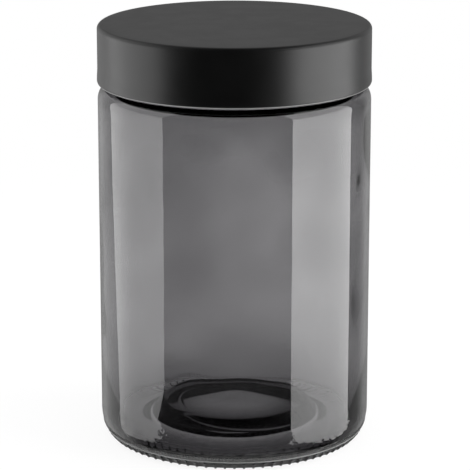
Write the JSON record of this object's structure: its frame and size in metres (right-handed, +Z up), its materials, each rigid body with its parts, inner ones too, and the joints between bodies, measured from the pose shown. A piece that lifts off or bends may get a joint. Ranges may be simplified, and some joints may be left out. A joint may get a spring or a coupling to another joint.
{
  "type": "storage canister",
  "caption": "Round smoked-glass storage jar with a smooth satin black screw lid, a threaded inner cap and a flat sealing ring.",
  "frame": {"origin": "on the jar's axis, at the surface that it stands on", "axes": "+Z up along the jar's axis, towards the lid"},
  "size_m": [0.1004, 0.1004, 0.155],
  "materials": {
    "smoked_glass": "clear smoked glass, smooth",
    "satin_black_paint": "satin black",
    "black_plastic": "matt moulded",
    "silicone": "matt, milky"
  },
  "bodies": {
    "jar": {"glass_jar": "smoked_glass"},
    "seal": {"sealing_ring": "silicone"},
    "lid": {"lid_shell": "satin_black_paint", "lid_insert": "black_plastic"}
  },
  "joints": [
    {"name": "lid_lift", "type": "slide", "parent": "jar", "child": "seal", "axis": [0, 0, 1], "range_m": [0, 0.0181]},
    {"name": "lid_turn", "type": "hinge", "parent": "seal", "child": "lid", "pos_m": [0, 0, 0.1437], "axis": [0, 0, 1], "range_deg": [0, 1080]}
  ],
  "couplings": [
    {"joint": "lid_lift", "follows": "lid_turn", "m_per_rad": 0.00095493}
  ]
}
